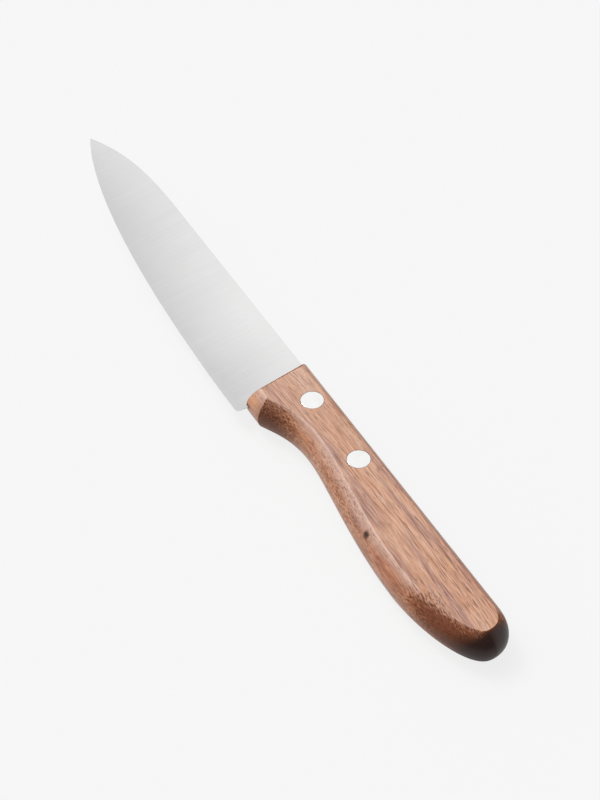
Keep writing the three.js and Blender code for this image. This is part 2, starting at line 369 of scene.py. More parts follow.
class Graph:
    """Adds nodes to one node tree and joins them."""

    def __init__(self, tree: Tree) -> None:
        """Starts on a tree."""
        self.tree = tree

    def feed(self, socket: Socket, value: object) -> None:
        """Joins an output to a socket, or sets the socket's own value.

        Args:
            socket: Input to feed.
            value: Output of another node, or a plain value.
        """
        if isinstance(value, Socket):
            self.tree.links.new(value, socket)
        else:
            socket.default_value = value

    def add(self, kind: str, inputs: dict | None = None, **settings: object) -> Node:
        """Adds a node.

        Args:
            kind: Node type.
            inputs: Values or outputs for its inputs, by name or number.
            **settings: Properties of the node.

        Returns:
            The node.
        """
        node = self.tree.nodes.new(kind)
        for name, value in settings.items():
            setattr(node, name, value)
        for socket, value in (inputs or {}).items():
            self.feed(node.inputs[socket], value)
        return node

    def math(self, operation: str, first: Value, *others: Value) -> Socket:
        """Joins values by one operation, from left to right.

        Args:
            operation: Name of the operation.
            first: First value.
            *others: Values that follow, or none where the operation takes one value.

        Returns:
            The result.
        """
        for other in others or (0.0,):
            first = self.add("ShaderNodeMath", {0: first, 1: other}, operation=operation).outputs[0]
        return first

    def times(self, *values: Value) -> Socket:
        """Multiplies values."""
        return self.math("MULTIPLY", *values)

    def plus(self, *values: Value) -> Socket:
        """Adds values."""
        return self.math("ADD", *values)

    def centred(self, pattern: Socket) -> Socket:
        """Moves a pattern from 0 to 1 so that its middle is at 0."""
        return self.math("SUBTRACT", pattern, 0.5)

    def vector(self, operation: str, first: Place, second: Place) -> Socket:
        """Joins two vectors into one."""
        return self.add("ShaderNodeVectorMath", {0: first, 1: second}, operation=operation).outputs[0]

    def measure(self, operation: str, first: Place, second: Place = (0.0, 0.0, 0.0)) -> Socket:
        """Takes one number from two vectors, or from the first alone."""
        node = self.add("ShaderNodeVectorMath", {0: first, 1: second}, operation=operation)
        return node.outputs["Value"]

    def parts(self, vector: Socket) -> dict[str, Socket]:
        """Splits a vector into its X, Y and Z."""
        outputs = self.add("ShaderNodeSeparateXYZ", {0: vector}).outputs
        return {axis: outputs[axis] for axis in "XYZ"}

    def span(self, value: Socket, given: Range, wanted: Range = WHOLE, eased: bool = True) -> Socket:
        """Carries a value from one range to another.

        Args:
            value: Value to carry.
            given: Start and end of its range.
            wanted: Result at the start and at the end.
            eased: Whether the result eases in and out.

        Returns:
            The result.
        """
        names = ("Value", "From Min", "From Max", "To Min", "To Max")
        inputs = dict(zip(names, (value, *given, *wanted)))
        course = "SMOOTHSTEP" if eased else "LINEAR"
        return self.add("ShaderNodeMapRange", inputs, interpolation_type=course).outputs["Result"]

    def mix(self, share: Value, first: Tone, second: Tone, blend: Blend = Blend.OVER) -> Socket:
        """Lays one colour on another.

        Args:
            share: How much of the second colour is laid on.
            first: Colour below.
            second: Colour above.
            blend: How it is laid on.

        Returns:
            The mixed colour.
        """
        node = self.add("ShaderNodeMix", {0: share, 6: first, 7: second}, data_type="RGBA")
        node.blend_type = blend.value
        return node.outputs[2]

    def lay(self, tone: Tone, pattern: Socket, layer: Layer) -> Socket:
        """Lays a layer on a colour where a pattern calls for it."""
        share = self.span(pattern, layer.course, (0.0, layer.share))
        return self.mix(share, tone, layer.tone, layer.blend)

    def ramp(self, value: Socket, stops: tuple[tuple[float, Colour], ...]) -> Socket:
        """Colours a value by stops.

        Args:
            value: Value from 0 to 1.
            stops: Place and colour of each stop.

        Returns:
            The colour.
        """
        node = self.add("ShaderNodeValToRGB", {0: value})
        elements = node.color_ramp.elements
        while len(elements) < len(stops):
            elements.new(1.0)
        for element, stop in zip(elements, stops):
            element.position, element.color = stop
        return node.outputs["Color"]

    def group(self, effect: "Effect", inputs: dict) -> Socket:
        """Places a shared effect.

        Args:
            effect: Which effect.
            inputs: Values or outputs for its inputs.

        Returns:
            Its output.
        """
        node = self.tree.nodes.new("ShaderNodeGroup")
        node.node_tree = effect.tree()
        for socket, value in inputs.items():
            self.feed(node.inputs[socket], value)
        return node.outputs[0]


STREAK_ROUGHNESS = 0.55
RIM_SCALE = 1.6
RIM_DETAIL = 3.0
RIM_FADE: Range = (0.1, 1.0)
SMUDGE_DETAIL = 4.0
SMUDGE_WANDER = 0.6


class Effect(Enum):
    """Patterns that more than one finish uses, as node groups."""

    STREAKS = "drawn_out_streaks"
    PATCH = "soft_patch"
    SMUDGE = "handling_smudge"

    def tree(self) -> Tree:
        """Gives the effect's node group, which is built on first use.

        Returns:
            The node group.
        """
        known = bpy.data.node_groups.get(self.value)
        if known:
            return known
        builders = {Effect.STREAKS: self.streaks, Effect.PATCH: self.patch, Effect.SMUDGE: self.smudge}
        return builders[self]()

    def begin(self, inputs: dict[str, str], output: str) -> tuple[Graph, dict[str, Socket], Socket]:
        """Starts a node group.

        Args:
            inputs: Kind of each input by name, Vector or Float.
            output: Name of the one value that the group puts out.

        Returns:
            The graph, what it is given by name, and the socket for its result.
        """
        tree = bpy.data.node_groups.new(self.value, "ShaderNodeTree")
        for name, kind in inputs.items():
            tree.interface.new_socket(name, in_out="INPUT", socket_type=f"NodeSocket{kind}")
        tree.interface.new_socket(output, in_out="OUTPUT", socket_type="NodeSocketFloat")
        graph = Graph(tree)
        given = graph.add("NodeGroupInput").outputs
        result = graph.add("NodeGroupOutput").inputs[output]
        return graph, {name: given[name] for name in inputs}, result

    def streaks(self) -> Tree:
        """Builds noise that is drawn out to a given size along each axis.

        Returns:
            The node group.
        """
        graph, given, result = self.begin(
            {"Vector": "Vector", "Size": "Vector", "Detail": "Float", "Distortion": "Float"}, "Value")
        place = graph.vector("DIVIDE", given["Vector"], given["Size"])
        noise = graph.add("ShaderNodeTexNoise", {
            "Vector": place, "Scale": 1.0, "Detail": given["Detail"], "Roughness": STREAK_ROUGHNESS,
            "Distortion": given["Distortion"]})
        graph.feed(result, noise.outputs[0])
        return graph.tree

    def patch(self) -> Tree:
        """Builds a soft oval mask with a ragged rim.

        Returns:
            The node group.
        """
        graph, given, result = self.begin(
            {"Vector": "Vector", "Centre": "Vector", "Size": "Vector", "Raggedness": "Float"}, "Mask")
        away = graph.vector("SUBTRACT", given["Vector"], given["Centre"])
        place = graph.vector("DIVIDE", away, given["Size"])
        noise = graph.add("ShaderNodeTexNoise", {
            "Vector": place, "Scale": RIM_SCALE, "Detail": RIM_DETAIL})
        push = graph.times(graph.centred(noise.outputs[0]), given["Raggedness"])
        reach = graph.plus(graph.measure("LENGTH", place), push)
        graph.feed(result, graph.span(reach, RIM_FADE, FADE))
        return graph.tree

    def smudge(self) -> Tree:
        """Builds the faint unevenness of gloss that handling leaves.

        Returns:
            The node group.
        """
        graph, given, result = self.begin(
            {"Vector": "Vector", "Size": "Float", "Amount": "Float"}, "Value")
        scale = graph.math("DIVIDE", 1.0, given["Size"])
        noise = graph.add("ShaderNodeTexNoise", {
            "Vector": given["Vector"], "Scale": scale, "Detail": SMUDGE_DETAIL,
            "Distortion": SMUDGE_WANDER})
        graph.feed(result, graph.times(graph.centred(noise.outputs[0]), given["Amount"]))
        return graph.tree


@dataclass(frozen=True)
class Streak:
    """A layer of streaks: the size of one along each axis, finer noise on it and how far it wanders."""

    size: Point
    detail: float = 1.0
    distortion: float = 0.0


@dataclass(frozen=True)
class Spot:
    """A soft oval place on the knife: its centre, its reach along each axis and how ragged its rim is."""

    centre: Point
    size: Point
    raggedness: float


@dataclass(frozen=True)
class Smudge:
    """Uneven gloss from handling: the size of a smudge and how much it changes the roughness."""

    size: float
    amount: float


class Finish:
    """A material on the knife's own millimetres."""

    def __init__(self, name: str, datum: Datum) -> None:
        """Starts a material.

        Args:
            name: Name of the material.
            datum: Where the knife's millimetres sit in the frame.
        """
        self.material = bpy.data.materials.new(name)
        self.material.use_nodes = True
        self.graph = Graph(self.material.node_tree)
        self.shader = self.material.node_tree.nodes["Principled BSDF"]
        coordinates = self.graph.add("ShaderNodeTexCoord")
        self.normal = coordinates.outputs["Normal"]
        scale = 1 / MM
        self.place = self.graph.add("ShaderNodeMapping", {
            "Vector": coordinates.outputs["Object"], "Location": -datum.origin * scale,
            "Scale": (scale, scale, scale)}).outputs[0]

    def streaks(self, along: Socket, streak: Streak) -> Socket:
        """Places a layer of streaks on given coordinates.

        Args:
            along: Coordinates that the streaks run along.
            streak: Size and wandering of a streak.

        Returns:
            The streaks, from 0 to 1.
        """
        return self.graph.group(Effect.STREAKS, {
            "Vector": along, "Size": streak.size, "Detail": streak.detail,
            "Distortion": streak.distortion})

    def patch(self, spot: Spot) -> Socket:
        """Places a soft mask that is 1 in the middle of a spot.

        Args:
            spot: Where it lies.

        Returns:
            The mask.
        """
        return self.graph.group(Effect.PATCH, {
            "Vector": self.place, "Centre": spot.centre, "Size": spot.size,
            "Raggedness": spot.raggedness})

    def stain(self, tone: Socket, spot: Spot, stain: Colour, share: float) -> Socket:
        """Lays a colour on a spot, up to a share."""
        return self.graph.mix(self.graph.times(self.patch(spot), share), tone, stain)

    def smudge(self, smudge: Smudge) -> Socket:
        """Places the uneven gloss of handling."""
        return self.graph.group(Effect.SMUDGE, {
            "Vector": self.place, "Size": smudge.size, "Amount": smudge.amount})

    def set(self, **inputs: object) -> None:
        """Sets or joins inputs of the shader, with spaces in their names written as underscores."""
        for name, value in inputs.items():
            self.graph.feed(self.shader.inputs[name.replace("_", " ")], value)

    def bump(self, layers: list[tuple[Socket, float]]) -> None:
        """Raises the surface by one or more heights.

        Args:
            layers: Height from 0 to 1 and the depth in millimetres that it stands for.
        """
        normal = None
        for height, depth in layers:
            inputs = {"Height": height, "Distance": depth * MM, "Strength": 1.0}
            if normal is not None:
                inputs["Normal"] = normal
            normal = self.graph.add("ShaderNodeBump", inputs).outputs[0]
        self.set(Normal=normal)


@dataclass(frozen=True)
class WoodMasks:
    """How the handle's surface faces and cuts the grain, and what lies there, as values over the wood."""

    up: Socket
    flat: Socket
    belly_side: Socket
    backward: Socket
    slant: Socket
    dots: Socket
    end: Socket
    deep_end_and_shade: Socket
    pores: Socket
    knot: Socket
    mouth: Socket


@dataclass(frozen=True)
class Walnut:
    """Oiled walnut: streaks and pores along the handle, dots where they are cut across, a small knot."""

    slot: str = "walnut"

    # Colours of the wood
    pale: Colour = colour(218, 175, 149)
    tan: Colour = colour(202, 153, 126)
    orange: Colour = colour(208, 147, 109)
    rose: Colour = colour(163, 115, 102)
    rust: Colour = colour(160, 100, 69)
    brown: Colour = colour(118, 70, 47)
    pore_tone: Colour = colour(84, 46, 30)
    end_tone: Colour = colour(128, 74, 48)
    speckle_tone: Colour = colour(66, 31, 20)
    # Darkest end grain at the butt, with painted shade in it
    deep_end_and_shade_tone: Colour = colour(41, 22, 16)
    # Pale band below the crease: partly wear, partly painted sheen
    worn_and_sheen_tone: Colour = colour(208, 174, 158)
    guard_tone: Colour = colour(222, 158, 113)
    knot_tone: Colour = colour(52, 41, 36)

    # Tints that oil and handling lay over it, and painted shade for the scoop and for the mouth
    oil: Colour = (0.87, 0.755, 0.655, 1.0)
    amber: Colour = (0.93, 0.78, 0.62, 1.0)
    russet: Colour = (0.87, 0.62, 0.43, 1.0)
    shade: Colour = (0.74, 0.74, 0.78, 1.0)
    mouth_shade_tone: Colour = (0.3, 0.26, 0.24, 1.0)

    # Direction of the grain and the streaks along it
    grain_along: Point = (1.0, 0.0, -0.03)
    bow_place: float = 38.0
    bow: float = 0.00045
    broad: Streak = Streak((45.0, 3.0, 3.0), 2.0, 0.5)
    broad_stops: tuple[tuple[float, Colour], ...] = (
        (0.34, rose), (0.45, tan), (0.55, orange), (0.66, pale), (0.78, tan))
    band: Streak = Streak((16.0, 0.9, 0.9), 1.0, 0.4)
    band_dark: Layer = Layer((0.52, 0.7), rust, 0.4)
    band_light: Layer = Layer((0.48, 0.32), pale, 0.4)
    fibre: Streak = Streak((9.0, 0.24, 0.24))
    fibre_dark: Layer = Layer((0.5, 0.68), brown, 0.52)
    fibre_light: Layer = Layer((0.5, 0.36), pale, 0.55)
    fibre_depth: float = 0.012
    line: Streak = Streak((9.0, 0.21, 0.21), 0.6)
    line_dark: Range = (0.53, 0.66)
    line_crowding: Range = (0.3, 0.95)
    curl: Streak = Streak((3.0, 1.6, 1.6), 2.0, 1.0)
    curl_dark: Layer = Layer((0.47, 0.67), rust, 0.6)
    dot: Streak = Streak((1.2, 0.27, 0.27))
    dot_dark: Layer = Layer((0.54, 0.68), brown, 0.22)

    # Greyer bands: place along and across the handle, length, width and strength
    rose_bands: tuple[tuple[float, ...], ...] = (
        (37.0, -6.4, 17.0, 3.2, 0.7), (44.0, -7.5, 10.0, 2.6, 1.0), (36.0, 3.9, 11.0, 2.2, 0.4),
        (78.0, -3.8, 11.0, 2.4, 1.0), (8.0, -4.6, 20.0, 2.3, 0.4), (20.0, -4.8, 9.0, 2.3, 1.0),
        (64.0, -9.2, 13.0, 1.7, 0.85), (86.0, -4.8, 8.0, 2.3, 1.0), (45.0, 6.4, 70.0, 1.8, 0.45),
        (85.0, 5.2, 9.0, 2.1, 0.9))
    rose_height: float = 4.0
    rose_depth: float = 9.0
    rose_raggedness: float = 0.9

    # Places with a look of their own
    knot: Spot = Spot((48.4, -11.3, 4.2), (1.9, 1.5, 1.5), 0.6)
    knot_rim: Layer = Layer((0.0, 0.5), brown, 0.6)
    knot_heart: Layer = Layer((0.2, 1.0), knot_tone, 0.92)
    dip: Spot = Spot((83.0, -10.2, 4.6), (21.0, 6.5, 6.5), 0.3)
    dip_facing: Range = (0.72, 0.9)
    dip_slant: Range = (0.34, 0.22)
    thicket: Spot = Spot((78.0, 1.5, 4.0), (30.0, 8.0, 12.0), 0.5)
    brush: Spot = Spot((63.0, -12.0, 3.4), (15.0, 4.5, 4.5), 0.5)
    thick: Range = (0.0, 0.8)
    thicket_warm: Layer = Layer(thick, orange, 0.35)
    guard: Spot = Spot((-10.5, -13.5, 3.4), (5.5, 4.0, 3.8), 0.3)
    guard_share: float = 0.65
    front: Spot = Spot((-7.0, 1.5, 4.0), (14.0, 8.0, 9.0), 0.6)
    front_share: float = 0.85
    mouth: Spot = Spot((-11.7, -14.2, 0.4), (2.6, 1.2, 1.3), 0.3)
    # Painted shade where the blade enters the handle
    mouth_shade: Layer = Layer((0.4, 1.0), mouth_shade_tone, blend=Blend.DARKEN)
    tints_and_shade: tuple[tuple[Spot, Colour], ...] = (
        (Spot((64.0, -12.3, 3.4), (15.0, 4.5, 4.4), 0.5), russet),
        (Spot((11.0, -8.0, 3.0), (8.0, 4.0, 5.0), 0.5), amber),
        # Painted shade in the scoop behind the guard
        (Spot((-2.6, -11.6, 3.5), (7.5, 5.0, 5.5), 0.5), shade))

    # Which way the surface faces on the flats and on the belly's side, and the pale band along the
    # crease, which is partly wear and partly painted sheen
    flat_facing: Range = (0.945, 0.985)
    belly_facing: Range = (0.3, -0.2)
    worn_sheen_facing: Range = (0.55, 0.82)
    worn_sheen_share: Range = (0.36, 0.0)
    worn_sheen_until: Range = (0.03, 0.15)

    # End grain, darkened towards the butt partly by painted shade, and the pores that open in it
    end_raggedness: float = 0.75
    end_cut: Range = (0.09, 0.4)
    deep_end_and_shade_cut: Range = (0.22, 0.57)
    deep_end_and_shade_reach: Range = (60.0, 84.0)
    speckle_dark: Range = (0.5, 0.64)
    speckle_share: Range = (0.0, 0.6)
    pore_cells: tuple[Point, Point] = ((6.5, 0.6, 0.6), (4.5, 0.4, 0.4))
    pore_chance: Range = (0.3, 0.95)
    pore_width: Range = (0.02, 0.26)
    pore_in_end: Range = (0.0, 0.5)
    pore_opening: Range = (1.0, 0.85)
    pore_core: float = 0.5
    fine_pores: float = 0.8
    pore_shown: Range = (0.0, 0.4)
    pore_share: Range = (0.6, 0.7)
    pore_depth: float = 0.03

    # Gloss, and the film of oil on it
    gloss: Range = (0.46, 0.7)
    sheen: float = 0.08
    smudge: Smudge = Smudge(9.0, 0.12)
    film_roughness: float = 0.43
    film_ior: float = 1.58
    film_slant: Range = (0.04, 0.24)
    thin_facing: Range = (0.15, 0.5)
    thin_film: Range = (0.45, 0.12)
    bare_spot: Range = (0.0, 0.7)
    film_in_pores: Range = (1.0, 0.4)
    film_on_knot: Range = (1.0, 0.2)
    film_in_mouth: Range = (1.0, 0.0)
    film_by_side: Range = (0.6, 1.0)
    butt_film: Range = (0.65, 0.0)

    def material(self, datum: Datum) -> Material:
        """Builds the finish.

        Args:
            datum: Where the knife's millimetres sit in the frame.

        Returns:
            The material.
        """
        finish = Finish("oiled_walnut", datum)
        graph = finish.graph
        grain = self.grain(finish)
        masks = self.masks(finish, grain)
        fibre = finish.streaks(grain, self.fibre)
        wood = self.fibres(finish, grain, fibre, self.figure(finish, grain))
        wood = graph.mix(masks.flat, self.oiled(finish, grain, masks.dots, wood), wood)
        roughness = graph.plus(graph.span(masks.pores, WHOLE, self.gloss), finish.smudge(self.smudge))
        film = self.film(graph, masks)
        finish.set(Base_Color=self.aged(finish, masks, wood), Roughness=roughness)
        finish.set(Specular_IOR_Level=self.sheen)
        finish.set(Coat_Weight=film, Coat_Roughness=self.film_roughness, Coat_IOR=self.film_ior)
        closed = graph.math("SUBTRACT", 1.0, masks.pores)
        finish.bump([(closed, self.pore_depth), (fibre, self.fibre_depth)])
        return finish.material

    def masks(self, finish: Finish, grain: Socket) -> WoodMasks:
        """Finds how the surface faces and cuts the grain, which dips at the belly's end.

        Args:
            finish: The material.
            grain: Coordinates along the grain.

        Returns:
            The masks.
        """
        graph = finish.graph
        facing = graph.parts(finish.normal)
        up = graph.math("ABSOLUTE", facing["Z"])
        backward = graph.measure("DOT_PRODUCT", finish.normal, self.grain_along)
        across = graph.math("ABSOLUTE", backward)
        dip = graph.times(finish.patch(self.dip), graph.span(up, self.dip_facing, self.dip_slant))
        slant = graph.plus(across, dip)
        dots = finish.streaks(grain, self.dot)
        ragged = graph.times(graph.centred(dots), self.end_raggedness)
        end = graph.span(graph.plus(slant, ragged), self.end_cut)
        behind = graph.span(graph.parts(finish.place)["X"], self.deep_end_and_shade_reach)
        return WoodMasks(
            up=up, flat=graph.span(up, self.flat_facing),
            belly_side=graph.span(facing["Y"], self.belly_facing), backward=backward, slant=slant,
            dots=dots, end=end, deep_end_and_shade=graph.times(graph.span(across, self.deep_end_and_shade_cut), behind),
            pores=self.pores(graph, grain, end), knot=finish.patch(self.knot),
            mouth=finish.patch(self.mouth))

    def aged(self, finish: Finish, masks: WoodMasks, tone: Socket) -> Socket:
        """Lays on what cutting, wear and handling show: end grain, pores, tints and the knot; and painted
        light: a sheen along the crease and shade at the butt, in the scoop and at the mouth.

        Args:
            finish: The material.
            masks: How the surface lies.
            tone: Colour of the wood below.

        Returns:
            The colour.
        """
        graph = finish.graph
        tone = finish.stain(tone, self.guard, self.guard_tone, self.guard_share)
        # Pale band along the belly's crease: partly wear, partly painted sheen standing in for the lamp's
        # highlight
        worn_sheen = graph.times(
            graph.span(masks.up, self.worn_sheen_facing), graph.span(masks.flat, WHOLE, self.worn_sheen_share),
            graph.span(masks.backward, self.worn_sheen_until, FADE), masks.belly_side)
        tone = graph.mix(worn_sheen, tone, self.worn_and_sheen_tone)
        # End grain, darkest towards the butt, where part of the darkness is painted shade
        tone = graph.mix(masks.end, tone, graph.mix(masks.deep_end_and_shade, self.end_tone, self.deep_end_and_shade_tone))
        speckle = graph.times(graph.span(masks.dots, self.speckle_dark, self.speckle_share), masks.end)
        tone = graph.mix(speckle, tone, self.speckle_tone)
        # Tints, and the painted shade in the scoop
        for spot, tint in self.tints_and_shade:
            tone = graph.mix(finish.patch(spot), tone, tint, Blend.DARKEN)
        # Painted shade in the gap where the blade enters the handle
        tone = graph.lay(tone, masks.mouth, self.mouth_shade)
        pore_share = graph.times(masks.pores, graph.span(masks.end, self.pore_shown, self.pore_share))
        tone = graph.mix(pore_share, tone, graph.mix(masks.end, self.pore_tone, self.speckle_tone))
        for layer in (self.knot_rim, self.knot_heart):
            tone = graph.lay(tone, masks.knot, layer)
        return tone

    def film(self, graph: Graph, masks: WoodMasks) -> Socket:
        """Lays the film of oil, thin on cut grain and missing in pores, on the knot and in the mouth.

        Args:
            graph: Graph of the material.
            masks: How the surface lies.

        Returns:
            The share of the surface that it covers.
        """
        thin = graph.span(masks.up, self.thin_facing, self.thin_film)
        film = graph.span(masks.slant, self.film_slant, (1.0, thin))
        for mask, left in ((masks.pores, self.film_in_pores), (masks.knot, self.film_on_knot),
                           (masks.mouth, self.film_in_mouth)):
            film = graph.times(film, graph.span(mask, self.bare_spot, left))
        film = graph.times(film, graph.span(masks.belly_side, WHOLE, self.film_by_side))
        butt_film = graph.times(masks.deep_end_and_shade, graph.span(masks.belly_side, WHOLE, self.butt_film))
        return graph.math("MAXIMUM", film, butt_film)

    def grain(self, finish: Finish) -> Socket:
        """Gives coordinates along the grain, which bows a little and dips through the handle.

        Args:
            finish: The material.

        Returns:
            The coordinates in millimetres.
        """
        graph = finish.graph
        place = graph.parts(finish.place)
        away = graph.math("SUBTRACT", place["X"], self.bow_place)
        bow = graph.times(away, away, self.bow)
        dip = graph.times(place["X"], -self.grain_along[2])
        across = graph.plus(place["Y"], bow)
        height = graph.plus(place["Z"], dip)
        return graph.add("ShaderNodeCombineXYZ", {"X": place["X"], "Y": across, "Z": height}).outputs[0]

    def figure(self, finish: Finish, grain: Socket) -> Socket:
        """Lays the wood's broad colours: tan and orange streaks between greyer bands.

        Args:
            finish: The material.
            grain: Coordinates along the grain.

        Returns:
            The colour.
        """
        graph = finish.graph
        tone = graph.ramp(finish.streaks(grain, self.broad), self.broad_stops)
        for along, across, length, width, share in self.rose_bands:
            centre = (along, across, self.rose_height)
            spot = Spot(centre, (length, width, self.rose_depth), self.rose_raggedness)
            tone = finish.stain(tone, spot, self.rose, share)
        tone = finish.stain(tone, self.front, self.pale, self.front_share)
        band = finish.streaks(grain, self.band)
        return graph.lay(graph.lay(tone, band, self.band_dark), band, self.band_light)

    def fibres(self, finish: Finish, grain: Socket, fibre: Socket, tone: Socket) -> Socket:
        """Lays fine light and dark fibres on the wood, and thin dark lines that crowd towards the butt.

        Args:
            finish: The material.
            grain: Coordinates along the grain.
            fibre: Fine streaks.
            tone: Colour below.

        Returns:
            The colour.
        """
        graph = finish.graph
        tone = graph.lay(graph.lay(tone, fibre, self.fibre_dark), fibre, self.fibre_light)
        thicket = finish.patch(self.thicket)
        tone = graph.lay(tone, thicket, self.thicket_warm)
        thicket = graph.math("MAXIMUM", thicket, finish.patch(self.brush))
        crowd = graph.span(thicket, self.thick, self.line_crowding)
        lines = graph.span(finish.streaks(grain, self.line), self.line_dark)
        return graph.mix(graph.times(lines, crowd), tone, self.brown)

    def oiled(self, finish: Finish, grain: Socket, dots: Socket, tone: Socket) -> Socket:
        """Deepens the wood where the edge is rounded, with curls across the grain and cut pores.

        Args:
            finish: The material.
            grain: Coordinates along the grain.
            dots: Pattern of cut pores.
            tone: Colour below.

        Returns:
            The colour.
        """
        graph = finish.graph
        tone = graph.lay(tone, finish.streaks(grain, self.curl), self.curl_dark)
        return graph.mix(1.0, graph.lay(tone, dots, self.dot_dark), self.oil, Blend.DARKEN)

    def pores(self, graph: Graph, grain: Socket, end: Socket) -> Socket:
        """Lays open pores: dashes along the grain, dots where it is cut across.

        Args:
            graph: Graph of the material.
            grain: Coordinates along the grain.
            end: How far the surface cuts across the grain.

        Returns:
            A mask that is 1 in a pore.
        """
        opening = graph.span(end, self.pore_in_end, self.pore_opening)
        masks = []
        for size in self.pore_cells:
            place = graph.vector("DIVIDE", grain, size)
            cells = graph.add("ShaderNodeTexVoronoi", {"Vector": place, "Scale": 1.0})
            chance = graph.add("ShaderNodeSeparateColor", {0: cells.outputs["Color"]}).outputs[0]
            rim = graph.times(graph.span(chance, self.pore_chance, self.pore_width), opening)
            core = graph.times(rim, self.pore_core)
            masks.append(graph.span(cells.outputs["Distance"], (core, rim), FADE))
        return graph.math("MAXIMUM", masks[0], graph.times(masks[1], self.fine_pores))


@dataclass(frozen=True)
class SatinSteel:
    """Stainless steel with fine grind lines across the blade, and painted shade that darkens it towards
    the edge, the tip and the heel.
    """

    slot: str = "satin_steel"
    tone: Colour = (0.74, 0.74, 0.738, 1.0)
    dull_and_shade_tone: Colour = (0.55, 0.55, 0.55, 1.0)
    sheared: Layer = Layer((0.7, 0.9), (0.24, 0.24, 0.235, 1.0))
    grind_angle: float = -6.0
    grind_line: Streak = Streak((0.16, 9.0, 3.0), 3.0)
    grind_band: Streak = Streak((1.0, 22.0, 3.0), 2.0, 0.2)
    grind_contrast: float = 0.34
    grind_depth: float = 0.0006
    toward_edge: Range = (6.0, -16.0)
    edge_shade: Range = (0.0, 0.96)
    edge_course: float = 1.3
    toward_tip: Range = (-36.0, -110.0)
    tip_shade: Range = (-0.06, 0.26)
    toward_guard: Range = (-38.0, -22.0)
    guard_shade: Range = (0.0, 0.14)
    roughness: Range = (0.28, 0.32)
    smudge: Smudge = Smudge(18.0, 0.05)

    def material(self, datum: Datum) -> Material:
        """Builds the finish.

        Args:
            datum: Where the knife's millimetres sit in the frame.

        Returns:
            The material.
        """
        finish = Finish("satin_steel", datum)
        graph = finish.graph
        grind = graph.add("ShaderNodeMapping", {
            "Vector": finish.place, "Rotation": (0.0, 0.0, math.radians(self.grind_angle))}).outputs[0]
        lines = finish.streaks(grind, self.grind_line)
        bands = finish.streaks(grind, self.grind_band)
        place = graph.parts(finish.place)
        # Painted shade: the blade darkens towards the edge, the tip and the heel; the grind lines add to
        # it
        edge = graph.span(place["Y"], self.toward_edge, self.edge_shade, eased=False)
        grind_and_shade = graph.plus(
            graph.math("POWER", edge, self.edge_course),
            graph.times(graph.plus(graph.centred(lines), graph.centred(bands)), self.grind_contrast),
            graph.span(place["X"], self.toward_tip, self.tip_shade),
            graph.span(place["X"], self.toward_guard, self.guard_shade))
        tone = graph.mix(grind_and_shade, self.tone, self.dull_and_shade_tone)
        endways = graph.math("ABSOLUTE", graph.parts(finish.normal)["X"])
        tone = graph.lay(tone, endways, self.sheared)
        roughness = graph.plus(graph.span(lines, LINES, self.roughness), finish.smudge(self.smudge))
        finish.set(Base_Color=tone, Metallic=1.0, Roughness=roughness)
        finish.bump([(lines, self.grind_depth)])
        return finish.material


@dataclass(frozen=True)
class GroundAluminium:
    """Aluminium ground flush with the handle, with fine lines left by the belt."""

    slot: str = "rivet_aluminium"
    tone: Colour = (0.85, 0.85, 0.845, 1.0)
    belt_line: Streak = Streak((6.0, 0.12, 0.5), 3.0, 0.1)
    belt_dull: Layer = Layer((0.4, 0.75), (0.79, 0.79, 0.785, 1.0))
    belt_depth: float = 0.003
    roughness: Range = (0.27, 0.36)
    smudge: Smudge = Smudge(2.4, 0.1)

    def material(self, datum: Datum) -> Material:
        """Builds the finish.

        Args:
            datum: Where the knife's millimetres sit in the frame.

        Returns:
            The material.
        """
        finish = Finish("ground_aluminium", datum)
        graph = finish.graph
        lines = finish.streaks(finish.place, self.belt_line)
        tone = graph.lay(self.tone, lines, self.belt_dull)
        roughness = graph.plus(graph.span(lines, LINES, self.roughness), finish.smudge(self.smudge))
        finish.set(Base_Color=tone, Metallic=1.0, Roughness=roughness)
        finish.bump([(lines, self.belt_depth)])
        return finish.material


# Pieces


@dataclass(frozen=True)
class EdgeRound:
    """How an edge of the handle is rounded: one arc from flat to flat, eased where it meets a flat.

    The depth is the arc's inset at a flat, and the crease is the radius that eases it there.
    """

    depth: float
    crease: float

    def inset(self, half: float, height: float) -> float:
        """Gives how far the edge lies inside the outline.

        Args:
            half: Height of the flats from the blade's plane.
            height: Height on the edge from the blade's plane.

        Returns:
            The inset at that height.
        """
        radius = (self.depth ** 2 + half ** 2) / (2 * self.depth)
        reach = radius - self.crease
        crease_height = half - self.crease
        if height <= radius * crease_height / reach:
            return radius - math.sqrt(radius ** 2 - height ** 2)
        middle = radius - math.sqrt(reach ** 2 - crease_height ** 2)
        return middle - math.sqrt(max(self.crease ** 2 - (height - crease_height) ** 2, 0.0))

    def toward(self, other: "EdgeRound", share: float) -> "EdgeRound":
        """Gives the rounding on the way to another one.

        Args:
            other: Rounding at the far end.
            share: How far along, from 0 to 1.

        Returns:
            The rounding there.
        """
        return EdgeRound(self.depth + (other.depth - self.depth) * share,
                         self.crease + (other.crease - self.crease) * share)


@dataclass
class OutlinePoint:
    """A point of the handle's outline, with the rounding of the edge before and after it."""

    place: Vector
    before: EdgeRound
    after: EdgeRound
    corner: bool = False


